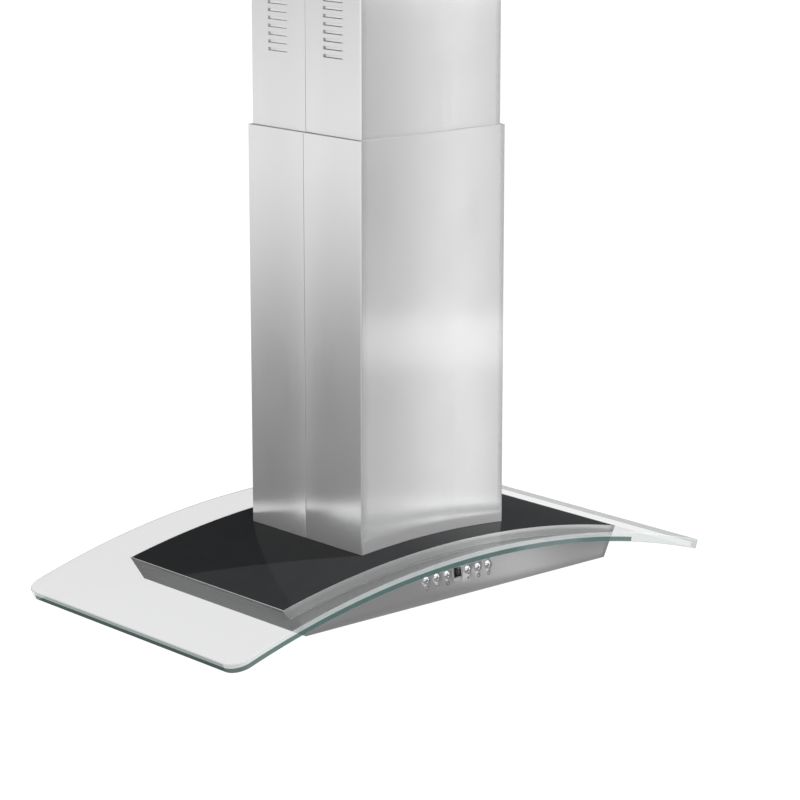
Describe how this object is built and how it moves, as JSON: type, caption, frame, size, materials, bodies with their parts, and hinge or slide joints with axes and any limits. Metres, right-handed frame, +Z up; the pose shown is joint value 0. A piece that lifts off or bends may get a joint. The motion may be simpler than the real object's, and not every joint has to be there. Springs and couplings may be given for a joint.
{
  "type": "island range hood",
  "caption": "Ceiling-hung island range hood: arched clear glass canopy on a shallow steel body, telescopic square chimney, tilt-down filters, push buttons.",
  "frame": {"origin": "centre of the ceiling plate's top face, on the chimney's axis", "axes": "+Z up into the ceiling, -Y towards the user at the control strip, +X to the right as seen from the control side"},
  "size_m": [0.913, 0.4874, 0.9692],
  "materials": {
    "galvanised": "zinc-coated sheet steel, dull with a faint spangle",
    "zinc_bolt": "bright zinc",
    "stainless_cover": "stainless steel, brushed along the chimney, satin",
    "stainless_body": "stainless steel, brushed lengthways, satin",
    "black_cover": "black gloss enamel",
    "clear_glass": "clear tempered float glass with a green edge",
    "glass_seal": "black silicone",
    "motor_casing": "grey lacquered motor can",
    "steel_shaft": "ground steel",
    "black_plastic": "black glass-filled plastic",
    "button_metal": "bright metallised plastic, domed",
    "display_window": "dark smoked window",
    "circuit_board": "green circuit board",
    "filter_steel": "stainless steel baffles, satin",
    "latch_metal": "polished steel",
    "lamp_trim": "polished bezel",
    "lamp_lens": "frosted lens",
    "grey_plastic": "grey moulded plastic"
  },
  "bodies": {
    "ceiling_mount": {"ceiling_plate": "galvanised", "upper_leg_front_left": "galvanised", "upper_leg_front_right": "galvanised", "upper_leg_rear_right": "galvanised", "upper_leg_rear_left": "galvanised", "upper_chimney_front": "stainless_cover", "upper_chimney_rear": "stainless_cover"},
    "canopy": {"lower_leg_front_left": "galvanised", "lower_leg_front_right": "galvanised", "lower_leg_rear_right": "galvanised", "lower_leg_rear_left": "galvanised", "frame_base": "galvanised", "motor_box": "galvanised", "scroll_wall": "galvanised", "scroll_side_left": "galvanised", "scroll_side_right": "galvanised", "duct_collar": "galvanised", "clamp_bolt_front_left": "zinc_bolt", "clamp_bolt_front_right": "zinc_bolt", "clamp_bolt_rear_right": "zinc_bolt", "clamp_bolt_rear_left": "zinc_bolt", "damper_spindle": "zinc_bolt", "lower_chimney_front": "stainless_cover", "lower_chimney_rear": "stainless_cover", "front_panel": "stainless_body", "rear_panel": "stainless_body", "left_end_panel": "stainless_body", "right_end_panel": "stainless_body", "bottom_panel": "stainless_body", "glass_ledge": "stainless_body", "top_cover": "black_cover", "glass_canopy": "clear_glass", "glass_seal": "glass_seal", "motor": "motor_casing", "cable_gland": "black_plastic", "display_window": "display_window", "control_board": "circuit_board", "lamp_housing_front_left": "lamp_trim", "lamp_housing_front_right": "lamp_trim", "lamp_housing_rear_right": "lamp_trim", "lamp_housing_rear_left": "lamp_trim", "lamp_lens_front_left": "lamp_lens", "lamp_lens_front_right": "lamp_lens", "lamp_lens_rear_right": "lamp_lens", "lamp_lens_rear_left": "lamp_lens", "junction_box": "grey_plastic"},
    "impeller": {"impeller": "black_plastic", "motor_shaft": "steel_shaft"},
    "damper_left": {"damper_flap_left": "black_plastic"},
    "damper_right": {"damper_flap_right": "black_plastic"},
    "filter_left": {"baffle_filter_left": "filter_steel"},
    "filter_right": {"baffle_filter_right": "filter_steel"},
    "latch_left": {"filter_latch_left": "latch_metal"},
    "latch_right": {"filter_latch_right": "latch_metal"},
    "button_1": {"button_1": "button_metal"},
    "button_2": {"button_2": "button_metal"},
    "button_3": {"button_3": "button_metal"},
    "button_4": {"button_4": "button_metal"},
    "button_5": {"button_5": "button_metal"},
    "button_6": {"button_6": "button_metal"}
  },
  "joints": [
    {"name": "height_adjust", "type": "slide", "parent": "ceiling_mount", "child": "canopy", "axis": [0, 0, 1], "range_m": [0, 0.2]},
    {"name": "impeller_spin", "type": "hinge", "parent": "canopy", "child": "impeller", "pos_m": [0, -0.024, -0.764], "axis": [1, 0, 0], "continuous": true},
    {"name": "damper_left_swing", "type": "hinge", "parent": "canopy", "child": "damper_left", "pos_m": [0, 0, -0.589], "axis": [0, 1, 0], "range_deg": [0, 75]},
    {"name": "damper_right_swing", "type": "hinge", "parent": "canopy", "child": "damper_right", "pos_m": [0, 0, -0.589], "axis": [0, -1, 0], "range_deg": [0, 75]},
    {"name": "button_1_press", "type": "slide", "parent": "canopy", "child": "button_1", "axis": [0, 0.9919, -0.1272], "range_m": [0, 0.0015], "stiffness_N_per_m": 400, "springref_m": -0.0006},
    {"name": "button_2_press", "type": "slide", "parent": "canopy", "child": "button_2", "axis": [0, 0.9919, -0.1272], "range_m": [0, 0.0015], "stiffness_N_per_m": 400, "springref_m": -0.0006},
    {"name": "button_3_press", "type": "slide", "parent": "canopy", "child": "button_3", "axis": [0, 0.9919, -0.1272], "range_m": [0, 0.0015], "stiffness_N_per_m": 400, "springref_m": -0.0006},
    {"name": "button_4_press", "type": "slide", "parent": "canopy", "child": "button_4", "axis": [0, 0.9919, -0.1272], "range_m": [0, 0.0015], "stiffness_N_per_m": 400, "springref_m": -0.0006},
    {"name": "button_5_press", "type": "slide", "parent": "canopy", "child": "button_5", "axis": [0, 0.9919, -0.1272], "range_m": [0, 0.0015], "stiffness_N_per_m": 400, "springref_m": -0.0006},
    {"name": "button_6_press", "type": "slide", "parent": "canopy", "child": "button_6", "axis": [0, 0.9919, -0.1272], "range_m": [0, 0.0015], "stiffness_N_per_m": 400, "springref_m": -0.0006},
    {"name": "filter_left_tilt", "type": "hinge", "parent": "canopy", "child": "filter_left", "pos_m": [-0.1105, 0.144, -0.9595], "axis": [1, 0, 0], "range_deg": [0, 85]},
    {"name": "filter_latch_left_slide", "type": "slide", "parent": "filter_left", "child": "latch_left", "axis": [0, 1, 0], "range_m": [0, 0.004], "stiffness_N_per_m": 300, "springref_m": -0.0012},
    {"name": "filter_right_tilt", "type": "hinge", "parent": "canopy", "child": "filter_right", "pos_m": [0.1105, 0.144, -0.9595], "axis": [1, 0, 0], "range_deg": [0, 85]},
    {"name": "filter_latch_right_slide", "type": "slide", "parent": "filter_right", "child": "latch_right", "axis": [0, 1, 0], "range_m": [0, 0.004], "stiffness_N_per_m": 300, "springref_m": -0.0012}
  ]
}
